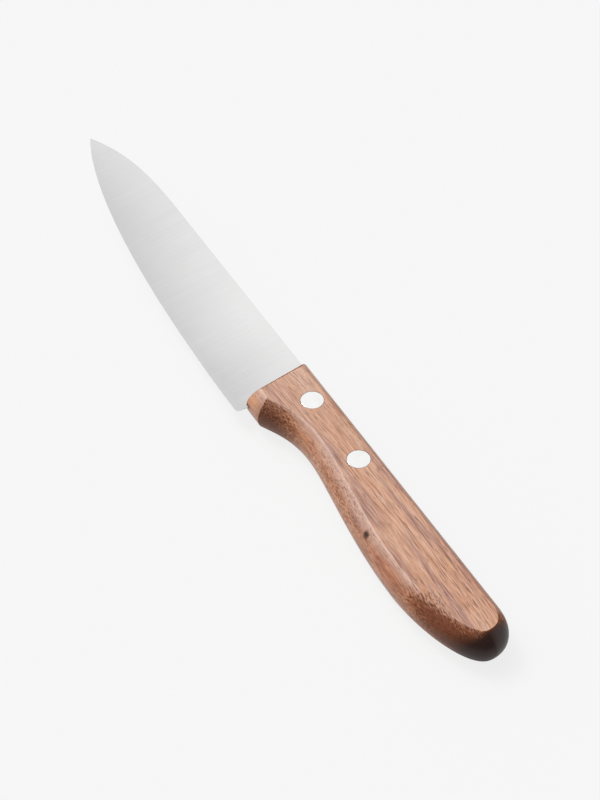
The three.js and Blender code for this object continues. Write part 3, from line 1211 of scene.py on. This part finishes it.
@dataclass
class Handle:
    """The wooden handle: flats, rounded edges, a finger guard, a slot for the tang, two rivet holes."""

    datum: Datum
    front_at_guard: float = 12.1
    crease_forward: float = 5.6
    crease_angle: float = 27.5
    neck_reach: float = 12.85
    neck_depth: float = 8.95
    belly_reach: float = 65.35
    belly_depth: float = 14.0
    butt_drop: float = 1.4
    butt_corner_setback: float = 10.7
    front_round: EdgeRound = EdgeRound(1.1, 1.15)
    guard_front_round: EdgeRound = EdgeRound(1.5, 0.75)
    belly_round: EdgeRound = EdgeRound(4.0, 0.9)
    butt_round: EdgeRound = EdgeRound(3.85, 0.5)
    back_round: EdgeRound = EdgeRound(2.75, 0.3)
    crease_pull: float = 0.33
    neck_pull_forward: float = 0.48
    neck_pull_back: float = 0.2
    belly_pull_forward: float = 0.43
    belly_pull_back: float = 0.35
    butt_pull_down: float = 0.66
    butt_pull_up: float = 0.61
    corner_pull: float = 0.63
    corner_ease: float = 0.14
    curve_steps: int = 36
    round_steps: int = 9
    round_spread: float = 62.0
    crease_drops: tuple[float, ...] = (0.25, 0.17, 0.11, 0.065, 0.033, 0.013, 0.003, 0.0)
    slot_width: float = 1.7
    slot_floor: float = 5.8
    slot_gap: float = 0.3
    slot_end_round: float = 5.3
    slot_front: float = -11.1
    slot_lip: float = 0.4
    slot_shoulder: float = 3.0
    mouth_width: float = 0.08
    hole_gap: float = 0.1
    hole_overrun: float = 1.0
    hole_segments: int = 96
    seat_depth: float = 1.9
    shank_width: float = 4.6
    sharp_angle: float = 38.0

    def __post_init__(self) -> None:
        """Reads the handle's box from the frame."""
        self.low, self.high = self.datum.box("handle")
        self.half = self.high.z

    def build(self) -> Piece:
        """Builds the handle.

        Returns:
            The handle with its slot and rivet holes cut.
        """
        piece = new_piece(self.body(), "walnut_handle", self.datum)
        cutters = [self.slot_cutter(), self.mouth_cutter()]
        for tube in RIVET_TUBES:
            cutters.append(rivet_hole(self.datum, tube, self.hole_profile(tube), self.hole_segments))
        cut(piece, cutters)
        smooth(piece, self.sharp_angle)
        return piece

    def outline(self) -> list[OutlinePoint]:
        """Draws the outline halfway up the handle, from the guard round the butt to the front.

        Returns:
            The points in order.
        """
        crease = Vector((-self.crease_forward, self.low.y))
        neck = Vector((self.neck_reach, -self.neck_depth))
        belly = Vector((self.belly_reach, -self.belly_depth))
        butt = Vector((self.high.x, -self.butt_drop))
        corner = Vector((self.high.x - self.butt_corner_setback, self.high.y))
        front_top = Vector((self.low.x, self.high.y))
        front_bottom = Vector((-self.front_at_guard, self.low.y))

        turn = math.radians(self.crease_angle)
        climb = Vector((math.cos(turn), math.sin(turn)))
        scoop_span = neck.x - crease.x
        swell_span = belly.x - neck.x
        butt_span = butt - belly
        corner_span = butt - corner
        scoop = (crease, crease + climb * self.crease_pull * scoop_span,
                 neck - Vector((self.neck_pull_forward * scoop_span, 0)), neck)
        swell = (neck, neck + Vector((self.neck_pull_back * swell_span, 0)),
                 belly - Vector((self.belly_pull_forward * swell_span, 0)), belly)
        lower_butt = (belly, belly + Vector((self.belly_pull_back * butt_span.x, 0)),
                      butt - Vector((0, self.butt_pull_down * butt_span.y)), butt)
        upper_butt = (butt, butt - Vector((0, self.butt_pull_up * corner_span.y)),
                      corner + Vector((self.corner_pull * corner_span.x, 0)), corner)

        return [
            OutlinePoint(front_bottom, self.guard_front_round, self.belly_round, corner=True),
            OutlinePoint(crease, self.belly_round, self.belly_round, corner=True),
            *self.stretch(scoop, self.belly_round, self.belly_round),
            *self.stretch(swell, self.belly_round, self.belly_round),
            *self.stretch(lower_butt, self.belly_round, self.butt_round),
            *self.stretch(upper_butt, self.butt_round, self.back_round),
            OutlinePoint(front_top, self.back_round, self.front_round, corner=True),
        ]

    def stretch(self, curve: tuple[Vector, ...], start: EdgeRound, end: EdgeRound) -> list[OutlinePoint]:
        """Samples a curve after its first point, easing from one rounding to another.

        Args:
            curve: End points and handles of the curve.
            start: Rounding at its start.
            end: Rounding at its end.

        Returns:
            The points.
        """
        points = []
        for step, place in enumerate(interpolate_bezier(*curve, self.curve_steps + 1)[1:], start=1):
            share = step / self.curve_steps
            share = share * share * (3 - 2 * share)
            edge_round = start.toward(end, share)
            points.append(OutlinePoint(place, edge_round, edge_round))
        return points

    def inset_place(self, outline: list[OutlinePoint], mark: int, height: float) -> Vector:
        """Gives the place of an outline point at a height on the rounded edge.

        Args:
            outline: The handle's outline.
            mark: Number of the point on it.
            height: Height from the blade's plane.

        Returns:
            The place.
        """
        point = outline[mark]
        before = outline[mark - 1].place
        after = outline[(mark + 1) % len(outline)].place
        inset_before = point.before.inset(self.half, height)
        inset_after = point.after.inset(self.half, height)
        if point.corner:
            normals = Matrix((self.outward(point.place - before), self.outward(after - point.place)))
            move = normals.inverted() @ Vector((-inset_before, -inset_after))
        else:
            move = -self.outward(after - before) * inset_before
        return Vector((point.place.x + move.x, point.place.y + move.y, height))

    @staticmethod
    def outward(direction: Vector) -> Vector:
        """Gives the outward normal of a stretch of the outline."""
        return Vector((direction.y, -direction.x)).normalized()

    def body(self) -> Mesh:
        """Draws the handle before it is cut: the upper half, mirrored.

        Returns:
            The mesh.
        """
        outline = self.outline()
        spread = math.radians(self.round_spread)
        bm = bmesh.new()
        ring = MarkedRing(bm, [self.inset_place(outline, mark, 0.0) for mark in range(len(outline))])
        shares = [math.sin(spread * step / self.round_steps) / math.sin(spread)
                  for step in range(1, self.round_steps)]
        heights = [self.half * share for share in shares]
        heights += [self.half - drop for drop in self.crease_drops]
        for height in heights:
            ring.draw(lambda mark: self.inset_place(outline, mark, height))
        ring.close()
        corners = {mark for mark, point in enumerate(outline) if point.corner}
        corner_edges = [edge for edge in bm.edges if self.on_corner(edge, ring.layer, corners)]
        ease(bm, corner_edges, self.corner_ease)
        bmesh.ops.mirror(bm, geom=bm.verts[:] + bm.edges[:] + bm.faces[:], axis="Z", merge_dist=MERGE)
        tidy(bm)
        return bm

    @staticmethod
    def on_corner(edge: Edge, layer: Marks, corners: set[int]) -> bool:
        """Tells whether an edge climbs along a corner of the outline."""
        marks = {vert[layer] for vert in edge.verts}
        return len(marks) == 1 and marks <= corners

    def slot_cutter(self) -> Piece:
        """Draws the saw cut for the tang, open along the back.

        Returns:
            The cutter.
        """
        end = self.datum.box("blade")[1].x + self.slot_gap
        front = self.slot_front - self.slot_gap
        open_top = self.high.y + self.half
        round_centre = Vector((end - self.slot_end_round, self.slot_end_round - self.slot_floor))
        arc = [round_centre + self.slot_end_round * Vector((math.sin(turn), -math.cos(turn)))
               for turn in QUARTER_TURN]
        outline = [Vector((front, open_top)), Vector((front, self.low.y + self.slot_lip)),
                   Vector((self.slot_shoulder, -self.slot_floor)), *arc, Vector((end, open_top))]
        width = self.slot_width / 2
        return self.prism("slot_cutter", [Vector((*place, -width)) for place in outline],
                          [Vector((*place, width)) for place in outline])

    def mouth_cutter(self) -> Piece:
        """Draws the wedge that the heel of the blade enters by, open at the front and along the back.

        Returns:
            The cutter.
        """
        blade_low, blade_high = self.datum.box("blade")
        front = self.low.x - self.half
        open_top = self.high.y + self.half
        wide = blade_high.z + self.mouth_width / 2
        thin = self.mouth_width / 2
        section = [(blade_low.y, -thin), (blade_low.y, thin), (blade_high.y, wide), (open_top, wide),
                   (open_top, -wide), (blade_high.y, -wide)]
        return self.prism("mouth_cutter", [Vector((front, *place)) for place in section],
                          [Vector((self.slot_front, *place)) for place in section])

    def prism(self, name: str, start: list[Vector], end: list[Vector]) -> Piece:
        """Draws a closed shape between two outlines.

        Args:
            name: Name of the shape.
            start: Points of the first outline.
            end: The same points on the second outline.

        Returns:
            The shape.
        """
        bm = bmesh.new()
        ring = MarkedRing(bm, start)
        first = list(ring.edges)
        ring.draw(lambda mark: end[mark])
        ring.close()
        bmesh.ops.contextual_create(bm, geom=first)
        tidy(bm)
        return new_piece(bm, name, self.datum)

    def hole_profile(self, node: str) -> Profile:
        """Gives the counterbored hole that fits a rivet.

        Args:
            node: CAD node of the rivet's tube.

        Returns:
            Radius and height of each step of the hole.
        """
        low, high = self.datum.box(node)
        head = (high.x - low.x) / 2 + self.hole_gap
        shank = self.shank_width / 2
        seat = self.half - self.seat_depth
        beyond = self.half + self.hole_overrun
        return [(head, -beyond), (head, -seat), (shank, -seat),
                (shank, seat), (head, seat), (head, beyond)]

    def dress(self, piece: Piece) -> None:
        """Gives the handle its walnut finish."""
        finish = Walnut()
        settle(piece, "handle", finish.material(self.datum))


@dataclass
class Blade:
    """The steel blade: a flat-ground wedge that runs into a plate tang."""

    datum: Datum
    spine_drop_reach: float = 92.4
    tip_drop: float = 1.6
    tip_spine_angle: float = 31.3
    tip_edge_angle: float = 26.7
    heel_forward: float = 11.1
    heel_corner: float = 1.2
    spine_drop_pull: float = 0.46
    tip_spine_pull: float = 0.3
    heel_edge_pull: float = 0.255
    tip_edge_pull: float = 0.26
    tip_thickness: float = 0.12
    shoulder_thickness: float = 0.03
    bevel_height: float = 0.15
    tip_land: float = 0.2
    spine_ease: float = 0.14
    tang_thickness: float = 1.4
    tang_back_drop: float = 0.15
    tang_end_round: float = 5.0
    tang_depth: float = 5.5
    tang_shoulder_depth: float = 13.45
    tang_shoulder_reach: float = 2.0
    hole_width: float = 4.6
    hole_segments: int = 64
    curve_samples: int = 160
    stations: int = 72
    tip_crowding: float = 0.35
    corner_steps: int = 8
    spine_marks: frozenset[int] = frozenset((0, 1))
    sharp_angle: float = 25.0

    def __post_init__(self) -> None:
        """Reads the blade's box from the frame."""
        self.low, self.high = self.datum.box("blade")

    def build(self) -> Piece:
        """Builds the blade.

        Returns:
            The blade with its tang.
        """
        self.draw_curves()
        piece = new_piece(self.body(), "satin_blade", self.datum)
        hole = [(self.hole_width / 2, -self.tang_thickness), (self.hole_width / 2, self.tang_thickness)]
        cut(piece, [rivet_hole(self.datum, tube, hole, self.hole_segments) for tube in RIVET_TUBES])
        smooth(piece, self.sharp_angle)
        return piece

    def draw_curves(self) -> None:
        """Samples the spine's drop and the cutting edge from the tip backwards."""
        tip = Vector((self.low.x, -self.tip_drop))
        drop = Vector((-self.spine_drop_reach, self.high.y))
        heel = Vector((-self.heel_forward - self.heel_corner, self.low.y))
        drop_span = drop.x - tip.x
        edge_span = heel.x - tip.x
        self.spine_curve = interpolate_bezier(
            tip, tip + self.toward(self.tip_spine_angle) * self.tip_spine_pull * drop_span,
            drop - Vector((self.spine_drop_pull * drop_span, 0)), drop, self.curve_samples)
        self.edge_curve = interpolate_bezier(
            tip, tip + self.toward(-self.tip_edge_angle) * self.tip_edge_pull * edge_span,
            heel - Vector((self.heel_edge_pull * edge_span, 0)), heel, self.curve_samples)

    @staticmethod
    def toward(angle: float) -> Vector:
        """Gives a direction from its angle in degrees."""
        return Vector((math.cos(math.radians(angle)), math.sin(math.radians(angle))))

    @staticmethod
    def height_at(curve: list[Vector], x: float) -> float:
        """Reads the height of a sampled curve at a place along the knife.

        Args:
            curve: Points with rising X.
            x: Place along the knife.

        Returns:
            The height, held level past the last point.
        """
        for before, after in zip(curve, curve[1:]):
            if x <= after.x:
                share = (x - before.x) / (after.x - before.x)
                return before.y + (after.y - before.y) * max(share, 0.0)
        return curve[-1].y

    def edge_height(self, x: float) -> float:
        """Gives the height of the cutting edge, with the rounded corner of the heel.

        Args:
            x: Place along the knife.

        Returns:
            The height.
        """
        along = x + self.heel_forward + self.heel_corner
        if along <= 0:
            return self.height_at(self.edge_curve, x)
        return self.low.y + self.heel_corner - math.sqrt(max(self.heel_corner ** 2 - along ** 2, 0.0))

    def section(self, x: float) -> list[Vector]:
        """Draws the wedge across the blade, from the spine down one side and up the other.

        Args:
            x: Place along the knife.

        Returns:
            The points of the section.
        """
        spine = self.height_at(self.spine_curve, x)
        edge = min(self.edge_height(x), spine - self.tip_land)
        share = (x - self.low.x) / (-self.heel_forward - self.low.x)
        half = (self.tip_thickness + (2 * self.high.z - self.tip_thickness) * share) / 2
        shoulder = edge + min(self.bevel_height, (spine - edge) / 2)
        thin = self.shoulder_thickness / 2
        return [Vector((x, spine, half)), Vector((x, spine, -half)), Vector((x, shoulder, -thin)),
                Vector((x, edge, 0)), Vector((x, shoulder, thin))]

    def heel_section(self) -> list[Vector]:
        """Draws the wedge at the heel's end, cut off where the handle covers it.

        Returns:
            The points of the section.
        """
        top, under, *shoulder = self.section(-self.heel_forward)
        edge = shoulder[-1]
        cut_height = -self.tang_shoulder_depth
        share = (cut_height - edge.y) / (top.y - edge.y)
        half = edge.z + (top.z - edge.z) * share
        return [top, under, *(Vector((top.x, cut_height, height)) for height in (-half, 0.0, half))]

    def tang_section(self, x: float, low: float) -> list[Vector]:
        """Draws the plate of the tang with the same points as the wedge.

        Args:
            x: Place along the knife.
            low: Height of its lower edge.

        Returns:
            The points of the section.
        """
        half = self.tang_thickness / 2
        top = self.high.y - self.tang_back_drop
        return [Vector((x, top, half)), Vector((x, top, -half)), Vector((x, low, -half)),
                Vector((x, low, 0)), Vector((x, low, half))]

    def places(self) -> list[float]:
        """Gives the places of the sections from the tip to the heel, closer where the outline turns.

        Returns:
            Places along the knife.
        """
        heel = -self.heel_forward - self.heel_corner
        along = []
        for step in range(self.stations + 1):
            share = step / self.stations
            share *= self.tip_crowding + (1 - self.tip_crowding) * share
            along.append(self.low.x + (heel - self.low.x) * share)
        turns = [math.pi / 2 * step / self.corner_steps for step in range(1, self.corner_steps + 1)]
        return along + [heel + self.heel_corner * math.sin(turn) for turn in turns]

    def body(self) -> Mesh:
        """Draws the blade from the tip to the end of the tang.

        Returns:
            The mesh.
        """
        sections = [self.section(x) for x in self.places()]
        heel_number = len(sections)
        sections.append(self.heel_section())
        end = self.high.x
        sections.append(self.tang_section(-self.heel_forward, -self.tang_shoulder_depth))
        sections.append(self.tang_section(self.tang_shoulder_reach, -self.tang_depth))
        for turn in QUARTER_TURN:
            low = -self.tang_depth + self.tang_end_round * (1 - math.cos(turn))
            sections.append(self.tang_section(end - self.tang_end_round * (1 - math.sin(turn)), low))
        bm = bmesh.new()
        ring = MarkedRing(bm, sections[0])
        start = list(ring.edges)
        for number, section in enumerate(sections[1:], start=1):
            ring.draw(lambda mark: section[mark])
            if number == heel_number:
                heel_edges = set(ring.edges)
        ring.close()
        bmesh.ops.contextual_create(bm, geom=start)
        spine = [edge for edge in bm.edges if edge not in heel_edges and self.on_spine(edge, ring.layer)]
        ease(bm, spine, self.spine_ease)
        tidy(bm)
        return bm

    def on_spine(self, edge: Edge, layer: Marks) -> bool:
        """Tells whether an edge runs along one of the spine's two corners on the blade itself.

        Args:
            edge: Edge to look at.
            layer: Layer that holds the marks of the ring.

        Returns:
            Whether it does.
        """
        marks = {vert[layer] for vert in edge.verts}
        ahead = all(vert.co.x < -self.heel_forward for vert in edge.verts)
        return len(marks) == 1 and marks <= self.spine_marks and ahead

    def dress(self, piece: Piece) -> None:
        """Gives the blade its satin finish."""
        finish = SatinSteel()
        settle(piece, "blade", finish.material(self.datum))


class RivetHalf(Enum):
    """The two halves of a rivet."""

    TUBE = "tube"
    PIN = "pin"


@dataclass
class Rivets:
    """Two rivets, each a tube half from above and a pin half from below, ground flush with the flats."""

    datum: Datum
    head_thickness: float = 1.8
    tube_width: float = 4.4
    pin_width: float = 2.8
    pin_gap: float = 0.05
    rim_ease: float = 0.06
    segments: int = 96
    sharp_angle: float = 40.0

    def build(self) -> list[tuple[Piece, str]]:
        """Builds the four halves.

        Returns:
            Each piece with the CAD node that it stands for.
        """
        made = []
        for place in ("front", "rear"):
            for half in RivetHalf:
                node = f"{place}_rivet_{half.value}"
                made.append((self.half_piece(node, half), node))
        return made

    def half_piece(self, node: str, half: RivetHalf) -> Piece:
        """Builds one half of a rivet.

        Args:
            node: CAD node that it stands for.
            half: Which half it is.

        Returns:
            The piece.
        """
        low, high = self.datum.box(node)
        head = (high.x - low.x) / 2
        bm = bmesh.new()
        if half is RivetHalf.TUBE:
            under = high.z - self.head_thickness
            tube = self.tube_width / 2
            bore = self.pin_width / 2 + self.pin_gap
            profile = [(head, high.z), (head, under), (tube, under), (tube, low.z),
                       (bore, low.z), (bore, under)]
        else:
            under = low.z + self.head_thickness
            pin = self.pin_width / 2
            profile = [(head, low.z), (head, under), (pin, under), (pin, high.z)]
        turned(bm, profile, self.segments)
        face_height = profile[0][1]
        rim = [edge for edge in bm.edges
               if all(abs(vert.co.z - face_height) < MERGE for vert in edge.verts)]
        ease(bm, rim, self.rim_ease)
        bmesh.ops.translate(bm, vec=((low.x + high.x) / 2, (low.y + high.y) / 2, 0), verts=bm.verts)
        tidy(bm)
        piece = new_piece(bm, f"{node}_ground", self.datum)
        smooth(piece, self.sharp_angle)
        return piece

    def dress(self, pieces: list[tuple[Piece, str]]) -> None:
        """Gives the rivets their ground finish.

        Args:
            pieces: Each piece with its CAD node.
        """
        finish = GroundAluminium()
        material = finish.material(self.datum)
        for piece, node in pieces:
            settle(piece, node, material)


# Studio


@dataclass(frozen=True)
class Lamp:
    """A soft lamp so far away that it lights the floor evenly."""

    name: str
    towards: Point
    spread: float
    strength: float

    def build(self) -> None:
        """Adds the lamp."""
        data = bpy.data.lights.new(self.name, "SUN")
        data.energy = self.strength
        data.angle = math.radians(self.spread)
        lamp = bpy.data.objects.new(self.name, data)
        lamp.rotation_euler = Vector(self.towards).to_track_quat("Z", "Y").to_euler()
        bpy.context.scene.collection.objects.link(lamp)


@dataclass
class Studio:
    """Pale floor, soft light from above and behind, and the camera of the photograph."""

    datum: Datum
    key: Lamp = Lamp("key_lamp", (-0.589, -0.18, 0.788), 20.0, 1.4)
    pale: float = 0.92
    floor_reach: float = 4.0
    floor_bounce: float = 0.6
    floor_shade: float = 0.1
    sky_dark: float = 0.1
    sky_bright: float = 2.1
    sky_start: float = 0.3
    sky_towards: Point = (-0.9, -0.2, 0.55)
    look_at: Point = (-1.694, -2.938, 0.0)
    azimuth: float = 60.16
    elevation: float = 47.05
    distance: float = 777.0
    focal_pixels: float = 2800.0
    frame_height: float = 800.0
    sensor: float = 36.0
    nearest: float = 0.01
    farthest: float = 20.0

    def build(self) -> None:
        """Builds the floor, the lights and the camera."""
        self.floor()
        self.world()
        self.key.build()
        self.camera()

    def seen(self, graph: Graph) -> Socket:
        """Gives 1 for rays that show the background: to the camera, in gloss and through glass.

        Args:
            graph: Graph of the floor or the sky.

        Returns:
            1 for such rays, 0 for others.
        """
        path = graph.add("ShaderNodeLightPath").outputs
        return graph.math(
            "MAXIMUM", path["Is Camera Ray"], path["Is Glossy Ray"], path["Is Transmission Ray"])

    def floor(self) -> None:
        """Lays a pale floor that keeps the knife's shadow."""
        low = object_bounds()[0]
        bm = bmesh.new()
        bmesh.ops.create_grid(bm, x_segments=1, y_segments=1, size=self.floor_reach)
        bmesh.ops.translate(bm, vec=(0, 0, low.z), verts=bm.verts)
        mesh = bpy.data.meshes.new("studio_floor")
        bm.to_mesh(mesh)
        bm.free()
        floor = bpy.data.objects.new("studio_floor", mesh)
        bpy.context.scene.collection.objects.link(floor)

        material = bpy.data.materials.new("pale_floor")
        material.use_nodes = True
        graph = Graph(material.node_tree)
        graph.tree.nodes.clear()
        shade = graph.add("ShaderNodeBsdfDiffuse", {"Color": grey(self.floor_shade)}).outputs[0]
        strength = self.pale - self.floor_shade
        glow = graph.add("ShaderNodeEmission", {"Color": WHITE, "Strength": strength}).outputs[0]
        shown = graph.add("ShaderNodeAddShader", {0: shade, 1: glow}).outputs[0]
        bounce = graph.add("ShaderNodeBsdfDiffuse", {"Color": grey(self.floor_bounce)}).outputs[0]
        mixed = graph.add("ShaderNodeMixShader", {0: self.seen(graph), 1: bounce, 2: shown}).outputs[0]
        graph.add("ShaderNodeOutputMaterial", {"Surface": mixed})
        mesh.materials.append(material)
        floor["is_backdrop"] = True

    def world(self) -> None:
        """Hangs a sky that is bright above and behind the knife, and dark beyond its butt."""
        world = bpy.data.worlds.new("studio_sky")
        world.use_nodes = True
        bpy.context.scene.world = world
        graph = Graph(world.node_tree)
        graph.tree.nodes.clear()
        direction = graph.add("ShaderNodeTexCoord").outputs["Generated"]
        facing = graph.measure("DOT_PRODUCT", direction, Vector(self.sky_towards).normalized())
        level = graph.span(facing, (self.sky_start, 1.0), (self.sky_dark, self.sky_bright))
        light = graph.add("ShaderNodeBackground", {"Color": WHITE, "Strength": level}).outputs[0]
        backdrop = graph.add("ShaderNodeBackground", {"Color": WHITE, "Strength": self.pale}).outputs[0]
        mixed = graph.add("ShaderNodeMixShader", {0: self.seen(graph), 1: light, 2: backdrop}).outputs[0]
        graph.add("ShaderNodeOutputWorld", {"Surface": mixed})

    def camera(self) -> None:
        """Sets the camera at the photograph's viewing angle."""
        top = self.datum.box("handle")[1].z
        target = self.datum.metres(Vector(self.look_at) + Vector((0, 0, top)))
        turn = math.radians(self.azimuth)
        climb = math.radians(self.elevation)
        level = math.cos(climb)
        back = Vector((math.sin(turn) * level, -math.cos(turn) * level, math.sin(climb)))
        data = bpy.data.cameras.new("photo_camera")
        data.sensor_width = self.sensor
        data.sensor_fit = "AUTO"
        data.lens = self.focal_pixels / self.frame_height * self.sensor
        data.clip_start = self.nearest
        data.clip_end = self.farthest
        camera = bpy.data.objects.new("photo_camera", data)
        camera.location = target + back * self.distance * MM
        camera.rotation_euler = back.to_track_quat("Z", "Y").to_euler()
        bpy.context.scene.collection.objects.link(camera)
        bpy.context.scene.camera = camera


def main() -> None:
    """Builds the knife and its studio."""
    logging.basicConfig(level=logging.INFO, format="%(name)s: %(message)s")
    bpy.context.scene.view_settings.view_transform = "Standard"
    datum = Datum.from_frame()

    handle = Handle(datum)
    handle.dress(handle.build())
    blade = Blade(datum)
    blade.dress(blade.build())
    rivets = Rivets(datum)
    rivets.dress(rivets.build())
    Studio(datum).build()


if __name__ == "__main__":
    main()
